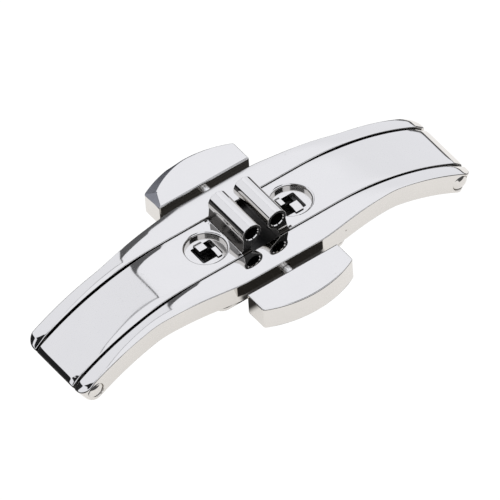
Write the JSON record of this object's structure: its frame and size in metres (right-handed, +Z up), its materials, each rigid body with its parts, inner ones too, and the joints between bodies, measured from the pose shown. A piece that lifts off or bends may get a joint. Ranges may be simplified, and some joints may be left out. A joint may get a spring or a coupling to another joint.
{
  "type": "folding watch clasp",
  "caption": "Polished steel butterfly watch clasp: two hinged leaves with strap tubes fold into a curved frame and latch, and push buttons at the sides release them.",
  "frame": {"origin": "middle of the clasp on the plane that its noses stand on", "axes": "+X along the clasp towards the right leaf's nose, -Y towards the front button, +Z up from the wrist side to the strap tubes"},
  "size_m": [0.0418, 0.0198, 0.0086],
  "materials": {
    "frame_polish": "mirror-polished stainless steel",
    "leaf_polish": "mirror-polished stainless steel",
    "button_polish": "mirror-polished stainless steel",
    "catch_steel": "turned stainless steel",
    "pin_steel": "polished stainless steel, riveted ends",
    "stem_steel": "ground stainless steel",
    "slide_steel": "satin stainless steel",
    "spring_wire": "drawn spring wire",
    "cover_steel": "polished stainless steel",
    "screw_steel": "turned stainless steel"
  },
  "bodies": {
    "frame": {"frame": "frame_polish", "left_hinge_pin": "pin_steel", "right_hinge_pin": "pin_steel", "cover_plate": "cover_steel", "cover_screws": "screw_steel", "spring_seat": "slide_steel", "front_left_spring": "spring_wire", "front_right_spring": "spring_wire", "rear_left_spring": "spring_wire", "rear_right_spring": "spring_wire"},
    "left_leaf": {"left_leaf": "leaf_polish", "left_catch": "catch_steel"},
    "right_leaf": {"right_leaf": "leaf_polish", "right_catch": "catch_steel"},
    "front_button": {"front_button": "button_polish", "front_stem": "stem_steel", "front_slide": "slide_steel"},
    "rear_button": {"rear_button": "button_polish", "rear_stem": "stem_steel", "rear_slide": "slide_steel"}
  },
  "joints": [
    {"name": "left_leaf_hinge", "type": "hinge", "parent": "frame", "child": "left_leaf", "pos_m": [-0.0195, 0, 0.00138], "axis": [0, -1, 0], "range_deg": [0, 160]},
    {"name": "right_leaf_hinge", "type": "hinge", "parent": "frame", "child": "right_leaf", "pos_m": [0.0195, 0, 0.00138], "axis": [0, 1, 0], "range_deg": [0, 160]},
    {"name": "front_button_push", "type": "slide", "parent": "frame", "child": "front_button", "axis": [0, 1, 0], "range_m": [0, 0.0006], "stiffness_N_per_m": 50, "springref_m": -0.0015, "deforming": ["front_left_spring", "front_right_spring"]},
    {"name": "rear_button_push", "type": "slide", "parent": "frame", "child": "rear_button", "axis": [0, -1, 0], "range_m": [0, 0.0006], "stiffness_N_per_m": 50, "springref_m": -0.0015, "deforming": ["rear_left_spring", "rear_right_spring"]}
  ]
}
